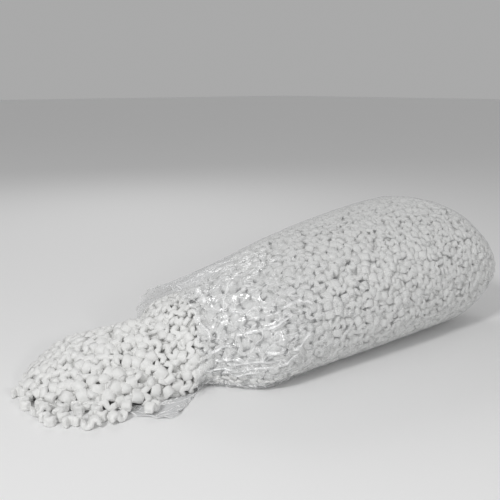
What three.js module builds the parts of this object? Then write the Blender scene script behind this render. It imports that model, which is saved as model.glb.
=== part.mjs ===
// A clear polythene bag of S-shaped packing peanuts. It lies on its side with its mouth open, and
// part of its fill has poured out into a heap on the floor.
// Units are millimetres. +X runs from the heap along the bag to its sealed end, +Z is up, and the
// floor is z = 0.

import * as THREE from "three";
import { mergeVertices } from "three/addons/utils/BufferGeometryUtils.js";

// Film
const FILM = 1.2; // wall of the bag, drawn far thicker than real film
const GAP = 0.3; // clear air between pieces that touch
const SEAL_FIN = 14; // flat heat-sealed strip past the closed end

// Filled bag as it lies. x = 0 is a section just inside the neck.
const BAG_LENGTH = 890;
const BAG_WIDTH = 487;
const BAG_HEIGHT = 362;
const BAG_TAPER = 0.31; // share of the width and height lost towards the neck
const SAG = 18; // how far the round underside is pressed flat by the floor
const END_DEPTH = 172; // length of the rounded, closed end
const SEAM_HEIGHT = 150; // height of the seal above the floor
const SEAM_WIDTH = 0.8; // width of the seal as a share of the bag's width
const SQUARENESS = 2.3; // exponent of the superellipse section

// Neck and mouth
const NECK_START = 50;
const NECK_RING = -50; // last full ring of the film, from which the lip hangs
const MOUTH = -66; // where the upper lip of the film ends
const NECK_PINCH = 0.17; // further loss of width down the neck
const NECK_DROP = 0.1; // further loss of height down the neck
const NECK_SHIFT = 88; // how far the neck swings towards +Y

// Heap outside the mouth
const HEAP_START = -122;
const HEAP_TOE = -345;
const HEAP_HEIGHT = 129;
const HEAP_HALF_WIDTH = 205;
const HEAP_CENTRE = 196; // middle of the heap where it is widest
const HEAP_BACK = 142; // how far its +Y edge draws in to meet the mouth
const HEAP_SWING = 10; // how far its toe swings towards -Y
const HEAP_POWER = 1.55; // exponent of the heap's section: 1 is a ridge, 2 is round

// One peanut: an S-shaped ribbon of foam
const CURL = 7.6; // radius of each curl's centre line
const RIBBON_THICK = 11;
const RIBBON_WIDE = 21;
const SOFT_EDGE = 2.6;
const HOOK = THREE.MathUtils.degToRad(28); // how far each curl runs past a half turn

// Peanuts that lie on their own round the toe of the heap
const LOOSE_COUNT = 44; // places tried, some of which find no room
const LOOSE_BAND = 96; // width of the strip of floor that they lie on
const LOOSE_TRIES = 260; // places looked at for each one; the nearest to the heap is taken
const SPILL_REACH = 245; // how far from the middle of the spill any of them rolled
const SEED = 11;

// Mesh density
const COLUMNS = 36;
const BAG_ROWS = 14;
const END_ROWS = 7;
const HEAP_ROWS = 9;

const { lerp, smoothstep, seededRandom } = THREE.MathUtils;

const filmMaterial = new THREE.MeshStandardMaterial({
  name: "clear_polythene",
  color: 0xe6e9ea,
  roughness: 0.15,
  metalness: 0,
  transparent: true,
  opacity: 0.3,
});
const foamMaterial = new THREE.MeshStandardMaterial({
  name: "white_foam",
  color: 0xeeeeec,
  roughness: 0.9,
  metalness: 0,
});

// ---- rings and lofts ----

// One ring of points round a section. Column 0 is on the +Y side and the ring runs over the top.
function ring(x, section, floor) {
  const points = [];
  for (let column = 0; column < COLUMNS; column += 1) {
    const angle = (2 * Math.PI * column) / COLUMNS;
    const across = Math.cos(angle);
    const up = Math.sin(angle);
    const y = Math.sign(across) * Math.abs(across) ** (2 / section.power);
    const z = Math.sign(up) * Math.abs(up) ** (2 / section.power);
    const height = section.middle + section.halfHeight * z;
    points.push(
      new THREE.Vector3(x, section.centre + section.halfWidth * y, Math.max(floor, height)),
    );
  }
  return points;
}

// Closed mesh through rings of points, from +X towards -X, with a fan over each end.
function loft(rings) {
  const positions = [];
  const triangle = (...corners) => corners.forEach((p) => positions.push(p.x, p.y, p.z));
  for (let row = 0; row + 1 < rings.length; row += 1) {
    for (let column = 0; column < COLUMNS; column += 1) {
      const next = (column + 1) % COLUMNS;
      triangle(rings[row][column], rings[row + 1][column], rings[row][next]);
      triangle(rings[row][next], rings[row + 1][column], rings[row + 1][next]);
    }
  }
  fanOver(rings[0], triangle, false);
  fanOver(rings[rings.length - 1], triangle, true);
  const geometry = new THREE.BufferGeometry();
  geometry.setAttribute("position", new THREE.Float32BufferAttribute(positions, 3));
  return welded(geometry);
}

function fanOver(points, triangle, flip) {
  const hub = new THREE.Vector3();
  points.forEach((point) => hub.addScaledVector(point, 1 / points.length));
  points.forEach((point, column) => {
    const next = points[(column + 1) % points.length];
    if (flip) triangle(hub, next, point);
    else triangle(hub, point, next);
  });
}

function welded(geometry) {
  geometry.deleteAttribute("normal");
  geometry.deleteAttribute("uv");
  const merged = mergeVertices(geometry, 1e-3);
  merged.computeVertexNormals();
  return merged;
}

// ---- the bag's film ----

// Sizes of the bag's section at x, made smaller all round by inset.
function bagSection(x, inset) {
  const reach = 1 - x / BAG_LENGTH;
  const neck = 1 - smoothstep(x, MOUTH, NECK_START);
  const taper = 1 - BAG_TAPER * reach * reach;
  const into = Math.max(0, x - (BAG_LENGTH - END_DEPTH));
  const end = Math.sqrt(Math.max(0, 1 - (into / END_DEPTH) ** 2));
  const round = (BAG_HEIGHT * taper * (1 - NECK_DROP * neck) + SAG) / 2;
  const width = BAG_WIDTH * taper * (1 - NECK_PINCH * neck) * lerp(SEAM_WIDTH, 1, end);
  return {
    centre: NECK_SHIFT * neck,
    halfWidth: width / 2 - inset,
    halfHeight: Math.max(round * end - inset, FILM),
    middle: lerp(SEAM_HEIGHT, round - SAG, end),
    power: SQUARENESS,
  };
}

// The lip of the mouth by turn in degrees, from +Y over the top. The upper lip hangs over the fill,
// and the lower one lies on the floor as a tongue with a squared corner on the -Y side.
const LIP = [
  { turn: 0, x: -86, y: 220, z: 95 },
  { turn: 45, x: -76, y: 186, z: 181 },
  { turn: 68, x: -68, y: 140, z: 206 },
  { turn: 90, x: -62, y: 90, z: 214 },
  { turn: 112, x: -66, y: 38, z: 206 },
  { turn: 135, x: -74, y: -10, z: 181 },
  { turn: 180, x: -84, y: -43, z: 95 },
  { turn: 212, x: -96, y: -36, z: 26 },
  { turn: 226, x: -106, y: -42, z: 0 },
  { turn: 240, x: -186, y: -93, z: 0 },
  { turn: 250, x: -212, y: -88, z: 0 },
  { turn: 260, x: -256, y: -28, z: 0 },
  { turn: 272, x: -270, y: 50, z: 0 },
  { turn: 290, x: -250, y: 150, z: 0 },
  { turn: 306, x: -190, y: 225, z: 0 },
  { turn: 322, x: -108, y: 236, z: 0 },
  { turn: 336, x: -98, y: 230, z: 26 },
  { turn: 360, x: -86, y: 220, z: 95 },
];

function lipPoint(column) {
  const turn = (360 * column) / COLUMNS;
  const stop = LIP.findIndex((knot, i) => turn >= knot.turn && turn < LIP[i + 1].turn);
  const part = (turn - LIP[stop].turn) / (LIP[stop + 1].turn - LIP[stop].turn);
  const [from, to] = [stop, stop + 1].map((i) => new THREE.Vector3(LIP[i].x, LIP[i].y, LIP[i].z));
  return from.lerp(to, part);
}

// X of each ring from the closed end to the neck. The end's rings crowd towards its tip.
function bagStations() {
  const shoulder = BAG_LENGTH - END_DEPTH;
  const stations = [];
  for (let row = 0; row < END_ROWS; row += 1) {
    stations.push(lerp(shoulder, BAG_LENGTH, Math.cos((Math.PI / 2) * (row / END_ROWS))));
  }
  for (let row = 0; row <= BAG_ROWS; row += 1) {
    stations.push(lerp(shoulder, NECK_RING, row / BAG_ROWS));
  }
  return stations;
}

// The same rings moved inwards by depth: straight up off the floor, and along the surface's own
// normals elsewhere.
function movedInwards(rings, depth) {
  return rings.map((points, row) =>
    points.map((point, column) => {
      if (point.z === 0) return new THREE.Vector3(point.x, point.y, depth);
      const after = rings[Math.min(row + 1, rings.length - 1)][column];
      const before = rings[Math.max(row - 1, 0)][column];
      const left = points[(column + 1) % COLUMNS];
      const right = points[(column + COLUMNS - 1) % COLUMNS];
      const along = after.clone().sub(before);
      const around = left.clone().sub(right);
      const outwards = along.cross(around).normalize();
      return point.clone().addScaledVector(outwards, -depth);
    }),
  );
}

function filmGeometry() {
  const outer = bagStations().map((x) => ring(x, bagSection(x, 0), 0));
  const neck = outer[outer.length - 1];
  for (const share of [0.35, 0.7, 1]) {
    outer.push(neck.map((point, column) => point.clone().lerp(lipPoint(column), share)));
  }
  const fin = outer[0].map((point) => point.clone().setX(BAG_LENGTH + SEAL_FIN));
  const inner = movedInwards(outer, FILM).slice(1); // the seal itself is solid
  return loft([fin, ...outer, ...inner.reverse()]);
}

// ---- the fill ----

const FILL_FLOOR = FILM + GAP;
const FILL_INSET = 4.7; // keeps the fill clear of the film's inner wall
const HEAP_FLOOR = 5.5; // clears the film where it comes down to the tongue
const NECK_INSET = 16;

// The heap's section at x: half a superellipse standing on the floor.
function heapSection(x) {
  const share = (x - HEAP_TOE) / (HEAP_START - HEAP_TOE);
  const centre = HEAP_CENTRE - HEAP_SWING * (1 - smoothstep(share, 0, 1));
  const halfWidth = HEAP_HALF_WIDTH * Math.sqrt(1 - (1 - lerp(0.05, 0.82, share)) ** 2);
  const back = HEAP_BACK * smoothstep(share, 0.5, 1);
  return {
    centre: centre - back / 2,
    halfWidth: halfWidth - back / 2,
    halfHeight: HEAP_HEIGHT * lerp(0.07, 1, share ** 0.62),
    middle: HEAP_FLOOR,
    power: HEAP_POWER,
  };
}

function fillGeometry() {
  const shoulder = BAG_LENGTH - END_DEPTH;
  const rings = bagStations().map((x) => {
    const back = FILL_INSET * Math.max(0, (x - shoulder) / END_DEPTH);
    return ring(x - back, bagSection(x, FILL_INSET), FILL_FLOOR + 3 * back);
  });
  rings.shift(); // the fill stops short of the seal
  for (const share of [0.4, 0.8, 1]) {
    const x = lerp(NECK_RING, HEAP_START + 8, share);
    rings.push(ring(x, bagSection(x, NECK_INSET), lerp(FILL_FLOOR, HEAP_FLOOR, share)));
  }
  for (let row = 0; row <= HEAP_ROWS; row += 1) {
    const x = lerp(HEAP_START, HEAP_TOE, Math.sin((Math.PI / 2) * (row / HEAP_ROWS)));
    rings.push(ring(x, heapSection(x), HEAP_FLOOR));
  }
  return loft(rings);
}

// ---- single peanuts ----

// Outline of the S, drawn lying along X: a curl that arches up, then one that arches down.
function peanutOutline() {
  const steps = 5;
  const edge = (offset) => {
    const points = [];
    for (let i = 0; i <= steps; i += 1) {
      const angle = lerp(Math.PI + HOOK, 0, i / steps);
      const radius = CURL + offset;
      points.push(new THREE.Vector2(radius * Math.cos(angle) - CURL, radius * Math.sin(angle)));
    }
    for (let i = 1; i <= steps; i += 1) {
      const angle = lerp(Math.PI, 2 * Math.PI + HOOK, i / steps);
      const radius = CURL - offset;
      points.push(new THREE.Vector2(radius * Math.cos(angle) + CURL, radius * Math.sin(angle)));
    }
    return points;
  };
  const half = RIBBON_THICK / 2 - SOFT_EDGE;
  return new THREE.Shape([...edge(half), ...edge(-half).reverse()]);
}

// The peanut centred on the origin, its ribbon's width along Z.
function peanutGeometry() {
  const geometry = new THREE.ExtrudeGeometry(peanutOutline(), {
    depth: RIBBON_WIDE - 2 * SOFT_EDGE,
    bevelThickness: SOFT_EDGE,
    bevelSize: SOFT_EDGE,
    bevelSegments: 1,
    curveSegments: 1,
  });
  geometry.center();
  return welded(geometry);
}

// Outline of the heap's foot on the floor.
function heapFoot() {
  const foot = [];
  for (let row = 0; row <= 40; row += 1) {
    const x = lerp(HEAP_START, HEAP_TOE, Math.sin((Math.PI / 2) * (row / 40)));
    const section = heapSection(x);
    foot.unshift(new THREE.Vector2(x, section.centre + section.halfWidth));
    foot.push(new THREE.Vector2(x, section.centre - section.halfWidth));
  }
  return foot;
}

const tongue = LIP.filter((knot) => knot.z === 0).map((knot) => new THREE.Vector2(knot.x, knot.y));

// Distance from a place on the floor to a closed outline, negative inside it.
function distanceTo(outline, place) {
  let nearest = Infinity;
  let inside = false;
  outline.forEach((a, i) => {
    const b = outline[(i + 1) % outline.length];
    const edge = b.clone().sub(a);
    const share = THREE.MathUtils.clamp(place.clone().sub(a).dot(edge) / edge.lengthSq(), 0, 1);
    nearest = Math.min(nearest, a.clone().addScaledVector(edge, share).distanceTo(place));
    if (a.y > place.y !== b.y > place.y) {
      const crossing = a.x + ((place.y - a.y) / (b.y - a.y)) * (b.x - a.x);
      if (place.x < crossing) inside = !inside;
    }
  });
  return inside ? -nearest : nearest;
}

// The two round spots of floor under a peanut's curls.
function footprint(peanut) {
  const along = new THREE.Vector2(Math.cos(peanut.yaw), Math.sin(peanut.yaw));
  const radius = CURL + RIBBON_THICK / 2 + GAP + (peanut.onSide ? 3.4 : 0);
  const centre = new THREE.Vector2(peanut.x, peanut.y);
  return [-CURL, CURL].map((step) => ({
    centre: centre.clone().addScaledVector(along, step),
    radius,
  }));
}

function clearOf(others, peanut, foot) {
  return footprint(peanut).every(
    (spot) =>
      distanceTo(foot, spot.centre) > spot.radius &&
      others.every((other) =>
        footprint(other).every(
          (taken) => taken.centre.distanceTo(spot.centre) > taken.radius + spot.radius,
        ),
      ),
  );
}

// Places for the loose peanuts, packed up against the heap. The first lies alone on the tongue.
function loosePlaces() {
  const foot = heapFoot();
  const placed = [{ x: -214, y: -42, yaw: 0.5, onSide: true }];
  const bare = new THREE.Vector2(-165, -75); // the tongue's corner stays bare
  const spill = new THREE.Vector2(-165, 120);
  seededRandom(SEED);
  for (let round = 0; round < LOOSE_COUNT; round += 1) {
    let best = null;
    for (let i = 0; i < LOOSE_TRIES; i += 1) {
      const candidate = {
        x: lerp(HEAP_TOE - 64, HEAP_START - 50, seededRandom()),
        y: lerp(HEAP_CENTRE - HEAP_HALF_WIDTH - 33, HEAP_CENTRE + 110, seededRandom()),
        yaw: Math.PI * seededRandom(),
        onSide: seededRandom() < 0.55,
      };
      const centre = new THREE.Vector2(candidate.x, candidate.y);
      candidate.away = distanceTo(foot, centre);
      if (candidate.away > (best ? best.away : LOOSE_BAND)) continue;
      if (centre.distanceTo(bare) < 90 || centre.distanceTo(spill) > SPILL_REACH) continue;
      if (!clearOf(placed, candidate, foot)) continue;
      best = candidate;
    }
    if (best) placed.push(best);
  }
  return placed;
}

function makePeanut(place, index) {
  const mesh = new THREE.Mesh(peanutGeometry(), foamMaterial.clone());
  mesh.name = `peanut_${String(index + 1).padStart(2, "0")}`;
  mesh.geometry.computeBoundingBox();
  const half = place.onSide ? mesh.geometry.boundingBox.max.y : mesh.geometry.boundingBox.max.z;
  const onTongue = footprint(place).some((spot) => distanceTo(tongue, spot.centre) < spot.radius);
  mesh.rotation.order = "ZYX";
  mesh.rotation.z = place.yaw;
  mesh.rotation.x = place.onSide ? Math.PI / 2 : 0;
  mesh.position.set(place.x, place.y, half + (onTongue ? FILL_FLOOR : 0));
  return mesh;
}

// ---- the whole part ----

const film = new THREE.Mesh(filmGeometry(), filmMaterial);
film.name = "bag_film";
const fill = new THREE.Mesh(fillGeometry(), foamMaterial);
fill.name = "peanut_fill";

const contents = new THREE.Group();
contents.add(film, fill, ...loosePlaces().map(makePeanut));

// The part's origin is the middle of its footprint.
const bounds = new THREE.Box3().setFromObject(contents, true);
const middle = bounds.getCenter(new THREE.Vector3());
contents.position.set(-middle.x, -middle.y, -bounds.min.z);

const group = new THREE.Group();
group.add(contents);
export default group;
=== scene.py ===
"""An open clear sack of S-shaped packing peanuts, lying on its side with its fill pouring out.

Lengths are in metres, in the part's own frame: +X along the bag to its sealed end, +Z up.
"""
import logging
import math
from dataclasses import dataclass
from enum import Enum

import bpy
import numpy as np
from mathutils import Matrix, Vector


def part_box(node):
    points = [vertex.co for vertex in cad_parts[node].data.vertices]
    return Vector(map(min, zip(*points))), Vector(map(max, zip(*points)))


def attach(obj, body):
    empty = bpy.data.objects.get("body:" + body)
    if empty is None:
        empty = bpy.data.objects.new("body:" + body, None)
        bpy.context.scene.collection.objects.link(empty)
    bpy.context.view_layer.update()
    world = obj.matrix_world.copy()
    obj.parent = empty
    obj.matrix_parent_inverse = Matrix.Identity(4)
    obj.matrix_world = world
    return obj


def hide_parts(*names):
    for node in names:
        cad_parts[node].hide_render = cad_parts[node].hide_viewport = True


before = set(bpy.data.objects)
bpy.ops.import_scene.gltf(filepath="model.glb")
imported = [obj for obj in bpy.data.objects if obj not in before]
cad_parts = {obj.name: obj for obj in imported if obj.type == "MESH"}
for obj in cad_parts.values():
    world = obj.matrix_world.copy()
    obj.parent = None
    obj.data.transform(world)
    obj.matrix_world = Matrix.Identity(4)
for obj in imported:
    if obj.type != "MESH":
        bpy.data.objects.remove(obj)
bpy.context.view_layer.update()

log = logging.getLogger("packing_peanut_bag")
Array = np.ndarray

# The film keeps this far above the floor, and the studio floor lies as far below it.
FLOOR_GAP = 0.0002


# ---------------------------------------------------------------- small helpers

def smooth(value: Array, start: float, stop: float) -> Array:
    """Ease from 0 at start to 1 at stop.

    Args:
        value: where the ease is wanted.
        start: value that gives 0.
        stop: value that gives 1; it may be less than start.

    Returns:
        The eased share, 0 to 1.
    """
    share = np.clip((value - start) / (stop - start), 0.0, 1.0)
    return share * share * (3.0 - 2.0 * share)


def unit(vectors: Array) -> Array:
    """Vectors scaled to length one."""
    return vectors / np.maximum(np.linalg.norm(vectors, axis=-1, keepdims=True), 1e-12)


def deselect_all() -> None:
    """Clear the selection, so that the next operator acts on its own piece only."""
    bpy.ops.object.select_all(action="DESELECT")


def new_piece(name: str, points: Array, faces: Array, material: bpy.types.Material,
              counts: Array | None = None) -> bpy.types.Object:
    """Make a smooth-shaded mesh object at the origin.

    Args:
        name: the piece's name.
        points: vertex places, one row each.
        faces: vertex numbers, four to a row, or all the corners in one row.
        material: the finish that the piece wears.
        counts: corners of each face, where faces is one row.

    Returns:
        The new object.
    """
    mesh = bpy.data.meshes.new(name)
    corners = faces.ravel().astype(np.int32)
    if counts is None:
        counts = np.full(len(faces), faces.shape[1], np.int32)
    starts = np.concatenate([[0], np.cumsum(counts)[:-1]]).astype(np.int32)
    mesh.vertices.add(len(points))
    mesh.vertices.foreach_set("co", points.astype(np.float32).ravel())
    mesh.loops.add(len(corners))
    mesh.loops.foreach_set("vertex_index", corners)
    mesh.polygons.add(len(counts))
    mesh.polygons.foreach_set("loop_start", starts)
    mesh.polygons.foreach_set("use_smooth", np.ones(len(counts), bool))
    mesh.update(calc_edges=True)
    mesh.validate()
    mesh.materials.append(material)
    piece = bpy.data.objects.new(name, mesh)
    bpy.context.scene.collection.objects.link(piece)
    return piece


def tube_faces(rows: int, columns: int) -> tuple[Array, Array]:
    """Four-cornered faces that join rings of points into a tube.

    Args:
        rows: how many rings there are.
        columns: how many points each ring has.

    Returns:
        The faces, and the point numbers by row and column.
    """
    index = np.arange(rows * columns).reshape(rows, columns)
    after = np.roll(index, -1, axis=1)
    faces = np.stack([index[:-1], index[1:], after[1:], after[:-1]], axis=-1).reshape(-1, 4)
    return faces, index


def wave_noise(points: Array, seed: int, scale: float, waves: int = 14) -> Array:
    """Smooth noise made of seeded sine waves, about -1 to 1.

    Args:
        points: places to read it at, in metres.
        seed: which noise.
        scale: rough size of its bumps, in metres.
        waves: how many sines are summed.

    Returns:
        One value for each point.
    """
    rng = np.random.default_rng(seed)
    total = np.zeros(points.shape[:-1])
    for _ in range(waves):
        way = unit(rng.normal(size=points.shape[-1])) * rng.uniform(0.7, 1.5) * math.pi / scale
        total += np.sin(points @ way + rng.uniform(0, 2 * math.pi))
    return total / math.sqrt(waves)


# ---------------------------------------------------------------- shape of bag and heap

@dataclass(frozen=True)
class BagForm:
    """The lying bag and its heap as one run of sections along X.

    The bag's sizes are those of the solid model, and the heap's are a little fuller than its.
    x = 0 is a section just inside the neck.

    Attributes:
        length: from x = 0 to the root of the seal.
        fin: length of the flat seal past it.
        width: the bag's width where it is widest.
        height: its height there.
        taper: share of its size lost at x = 0.
        sag: how far its underside is flattened by the floor.
        end_depth: length of the rounded end.
        seam_height: height of the seal.
        seam_width: the seal's width as a share of the bag's.
        power: exponent of the bag's sections.
        neck_start, neck_ring, mouth: x where the neck begins, its last whole ring, the mouth.
        neck_pinch, neck_drop, neck_shift: how far the neck narrows, sinks and swings to +Y.
        heap_start, heap_toe: x where the heap leaves the mouth and where it ends.
        heap_height, heap_half_width, heap_centre: its sizes and its middle in Y.
        heap_swing: how far its toe swings back to -Y.
        heap_back: how far its far side is drawn in near the mouth.
        heap_power: exponent of its sections.
        toe_spread, spread_gain: share of its spread at the toe, and what is added to the mouth.
        toe_height, slope_power: share of its height at the toe, and how the slope rises.
        near_turn, far_turn: stretches of x over which the bag's sides turn into the heap's.
        fill_drop, drop_from, drop_to: how far the fill sinks under slack film, and where.
        probe: step of the slope readings in depth.
        least_slope: slope below which a distance is no longer divided by it.
    """

    length: float = 0.890
    fin: float = 0.014
    width: float = 0.487
    height: float = 0.362
    taper: float = 0.31
    sag: float = 0.018
    end_depth: float = 0.172
    seam_height: float = 0.150
    seam_width: float = 0.8
    power: float = 2.3
    neck_start: float = 0.050
    neck_ring: float = -0.050
    mouth: float = -0.066
    neck_pinch: float = 0.17
    neck_drop: float = 0.10
    neck_shift: float = 0.088
    heap_start: float = -0.122
    heap_toe: float = -0.372
    heap_height: float = 0.146
    heap_half_width: float = 0.222
    heap_centre: float = 0.196
    heap_swing: float = 0.014
    heap_back: float = 0.130
    heap_power: float = 1.65
    toe_spread: float = 0.07
    spread_gain: float = 0.75
    toe_height: float = 0.24
    slope_power: float = 0.72
    near_turn: tuple[float, float] = (-0.060, -0.125)
    far_turn: tuple[float, float] = (-0.106, -0.130)
    fill_drop: float = 0.013
    drop_from: float = 0.20
    drop_to: float = 0.06
    probe: float = 0.0012
    least_slope: float = 0.8

    def section(self, x: Array) -> tuple[Array, ...]:
        """Sizes of the film's section at x.

        Args:
            x: where along the bag.

        Returns:
            Centre, half width, half height and middle height, one of each for each x.
        """
        reach = 1 - x / self.length
        neck = 1 - smooth(x, self.mouth, self.neck_start)
        taper = 1 - self.taper * reach * reach
        into = np.maximum(0, x - (self.length - self.end_depth)) / self.end_depth
        end = np.sqrt(np.maximum(1e-4, 1 - into ** 2))
        tall = (self.height * taper * (1 - self.neck_drop * neck) + self.sag) / 2
        wide = self.width / 2 * taper * (1 - self.neck_pinch * neck)
        wide = wide * (self.seam_width + (1 - self.seam_width) * end)
        middle = self.seam_height * (1 - end) + (tall - self.sag) * end
        return self.neck_shift * neck, wide, np.maximum(tall * end, 0.0008), middle

    def fill_section(self, x: Array) -> tuple[Array, ...]:
        """Sizes of the section that the peanuts take up at x, in the bag and in the heap.

        Args:
            x: where along the bag or the heap.

        Returns:
            Centre, half width, half height, middle height and exponent.
        """
        centre, wide, tall, middle = self.section(np.maximum(x, self.mouth))
        drop = self.fill_drop * smooth(x, self.drop_from, self.drop_to)
        tall, middle = tall - drop, middle - drop
        share = np.clip((x - self.heap_toe) / (self.heap_start - self.heap_toe), 0, 1)
        heap_centre = self.heap_centre - self.heap_swing * (1 - smooth(share, 0, 1))
        spread = self.toe_spread + self.spread_gain * share
        heap_wide = self.heap_half_width * np.sqrt(1 - (1 - spread) ** 2)
        back = self.heap_back * smooth(share, 0.45, 1.0) / 2
        heap_centre, heap_wide = heap_centre - back, heap_wide - back
        rise = self.toe_height + (1 - self.toe_height) * share ** self.slope_power
        heap_tall = self.heap_height * rise
        out = smooth(x, *self.near_turn)
        out_far = smooth(x, *self.far_turn)
        low = (centre - wide) * (1 - out) + (heap_centre - heap_wide) * out
        high = (centre + wide) * (1 - out_far) + (heap_centre + heap_wide) * out_far
        return (
            (low + high) / 2,
            (high - low) / 2,
            tall * (1 - out) + heap_tall * out,
            middle * (1 - out),
            self.power * (1 - out) + self.heap_power * out,
        )

    def fill_field(self, p: Array) -> Array:
        """How far out each point is in the fill's section: 1 is on its surface.

        Args:
            p: places in the bag's own frame.

        Returns:
            One value for each point, which grows steeply past either end.
        """
        x = np.clip(p[:, 0], self.heap_toe, self.length - 0.0005)
        centre, wide, tall, middle, power = self.fill_section(x)
        across = np.abs((p[:, 1] - centre) / wide)
        up = np.abs((p[:, 2] - middle) / tall)
        past = np.maximum(0, self.heap_toe - p[:, 0]) + np.maximum(0, p[:, 0] - self.length)
        return (across ** power + up ** power + 1e-9) ** (1 / power) + past * 12

    def depth(self, p: Array) -> tuple[Array, Array]:
        """Distance of points outside the fill's surface, below zero inside, and its normals.

        Args:
            p: places in the bag's own frame.

        Returns:
            The distances and the outward unit normals.
        """
        step = self.probe
        slope = np.empty_like(p)
        for axis in range(3):
            shift = np.zeros(3)
            shift[axis] = step
            slope[:, axis] = (self.fill_field(p + shift) - self.fill_field(p - shift)) / (2 * step)
        size = np.maximum(np.linalg.norm(slope, axis=1), self.least_slope)
        away, normal = (self.fill_field(p) - 1) / size, unit(slope)
        tip = p[:, 0] - self.length
        nearer = tip > away
        normal[nearer] = (1.0, 0.0, 0.0)
        return np.where(nearer, tip, away), normal

    def ring(self, x: float, turns: Array) -> Array:
        """One ring of the film at x, floor included."""
        centre, wide, tall, middle = (float(v) for v in self.section(np.array(x)))
        return self.superellipse(x, turns, centre, wide, tall, middle, self.power, 0.0)

    @staticmethod
    def superellipse(x: float, turns: Array, centre: float, wide: float, tall: float,
                     middle: float, power: float, floor: float) -> Array:
        """Points round a superellipse that is cut off by the floor.

        Args:
            x: place along the bag.
            turns: angles from +Y over the top.
            centre: its middle in Y.
            wide: half its width.
            tall: half its height.
            middle: height of its middle.
            power: its exponent.
            floor: lowest height allowed.

        Returns:
            One row for each turn.
        """
        c, s = np.cos(turns), np.sin(turns)
        y = centre + wide * np.sign(c) * np.abs(c) ** (2 / power)
        z = middle + tall * np.sign(s) * np.abs(s) ** (2 / power)
        return np.stack([np.full_like(y, x), y, np.maximum(floor, z)], axis=1)

    def origin(self) -> Array:
        """Where the bag's own x = 0, y = 0 lies in the part's frame, from the film's CAD box."""
        low, high = (np.array(v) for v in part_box("bag_film"))
        widest = float(self.section(np.array(self.length - self.end_depth))[1])
        return np.array([high[0] - self.length - self.fin, low[1] + widest, 0.0])


# ---------------------------------------------------------------- finishes

def cell_grain_group() -> bpy.types.ShaderNodeTree:
    """Node group that gives foam its closed-cell skin: a height and a faint tone."""
    group = bpy.data.node_groups.new("foam_cell_skin", "ShaderNodeTree")
    face = group.interface
    face.new_socket("Cells", in_out="INPUT", socket_type="NodeSocketFloat")
    face.new_socket("Lumps", in_out="INPUT", socket_type="NodeSocketFloat")
    face.new_socket("Height", in_out="OUTPUT", socket_type="NodeSocketFloat")
    face.new_socket("Tone", in_out="OUTPUT", socket_type="NodeSocketFloat")
    nodes, links = group.nodes, group.links
    inputs = nodes.new("NodeGroupInput")
    outputs = nodes.new("NodeGroupOutput")
    place = nodes.new("ShaderNodeTexCoord")
    cells = nodes.new("ShaderNodeTexVoronoi")
    cells.feature = "SMOOTH_F1"
    lumps = nodes.new("ShaderNodeTexNoise")
    lumps.inputs["Detail"].default_value = 3.0
    join = nodes.new("ShaderNodeMath")
    join.operation = "MULTIPLY_ADD"
    join.inputs[1].default_value = 0.6
    links.new(place.outputs["Object"], cells.inputs["Vector"])
    links.new(place.outputs["Object"], lumps.inputs["Vector"])
    links.new(inputs.outputs["Cells"], cells.inputs["Scale"])
    links.new(inputs.outputs["Lumps"], lumps.inputs["Scale"])
    links.new(cells.outputs["Distance"], join.inputs[0])
    links.new(lumps.outputs["Fac"], join.inputs[2])
    links.new(join.outputs["Value"], outputs.inputs["Height"])
    links.new(lumps.outputs["Fac"], outputs.inputs["Tone"])
    return group


class FoamTone(Enum):
    """Which foam a finish is for."""

    PEANUT = "white_foam"
    DEEP = "deep_foam"


@dataclass(frozen=True)
class FoamFinish:
    """Matt white expanded foam.

    Attributes:
        tone: which foam it is.
        roughness: how matt its skin is.
        light: its lightest colour.
        shade: its darkest colour.
        gloss: strength of its faint shine.
        cells: how fine its cells are.
        lumps: how fine its lumps are.
        bump: depth of its cells.
        bump_strength: how much of that depth shows.
    """

    tone: FoamTone
    roughness: float = 0.62
    light: tuple[float, float, float] = (0.88, 0.88, 0.87)
    shade: tuple[float, float, float] = (0.74, 0.74, 0.73)
    gloss: float = 0.35
    cells: float = 430.0
    lumps: float = 85.0
    bump: float = 0.0016
    bump_strength: float = 0.75

    def build(self, skin: bpy.types.ShaderNodeTree) -> bpy.types.Material:
        """Make the material.

        Args:
            skin: the foam's cell group.

        Returns:
            The finished material.
        """
        material = bpy.data.materials.new(self.tone.value)
        material.use_nodes = True
        nodes, links = material.node_tree.nodes, material.node_tree.links
        shader = nodes["Principled BSDF"]
        shader.inputs["Roughness"].default_value = self.roughness
        shader.inputs["Specular IOR Level"].default_value = self.gloss
        grain = nodes.new("ShaderNodeGroup")
        grain.node_tree = skin
        grain.inputs["Cells"].default_value = self.cells
        grain.inputs["Lumps"].default_value = self.lumps
        tone = nodes.new("ShaderNodeMix")
        tone.data_type = "RGBA"
        tone.inputs["A"].default_value = (*self.shade, 1.0)
        tone.inputs["B"].default_value = (*self.light, 1.0)
        bump = nodes.new("ShaderNodeBump")
        bump.inputs["Strength"].default_value = self.bump_strength
        bump.inputs["Distance"].default_value = self.bump
        links.new(grain.outputs["Tone"], tone.inputs["Factor"])
        links.new(tone.outputs["Result"], shader.inputs["Base Color"])
        links.new(grain.outputs["Height"], bump.inputs["Height"])
        links.new(bump.outputs["Normal"], shader.inputs["Normal"])
        return material


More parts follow.
